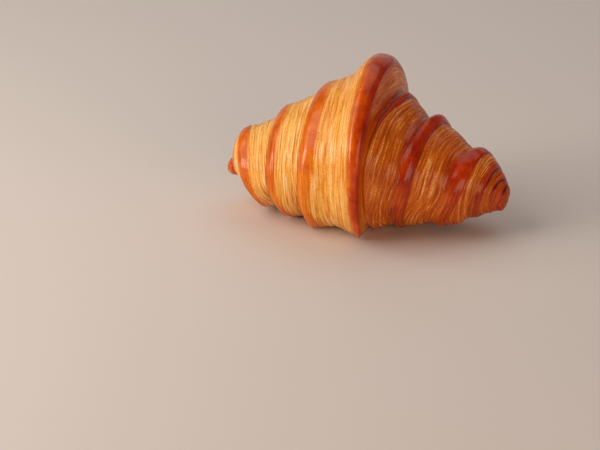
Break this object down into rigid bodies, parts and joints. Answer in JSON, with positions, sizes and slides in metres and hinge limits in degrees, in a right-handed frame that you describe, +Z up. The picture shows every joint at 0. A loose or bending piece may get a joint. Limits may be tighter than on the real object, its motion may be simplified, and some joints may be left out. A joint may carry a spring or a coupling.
{
  "type": "croissant",
  "caption": "Straight butter croissant: a rolled, laminated pastry with a raised smooth middle band and stepped wraps narrowing to two blunt tips.",
  "frame": {"origin": "on the flat base, under the middle of the bounding box in X and Y", "axes": "+X along the roll, from the golden, gently stepped end to the browner, steeper end; +Y to the back, away from the side where the point of the dough is tucked under; +Z up"},
  "size_m": [0.1378, 0.0874, 0.0803],
  "materials": {
    "crust": "egg-washed crust: glossy brown on the smooth bands, satin golden on the layered slopes between them"
  },
  "bodies": {
    "root": {"croissant": "crust"}
  },
  "joints": []
}
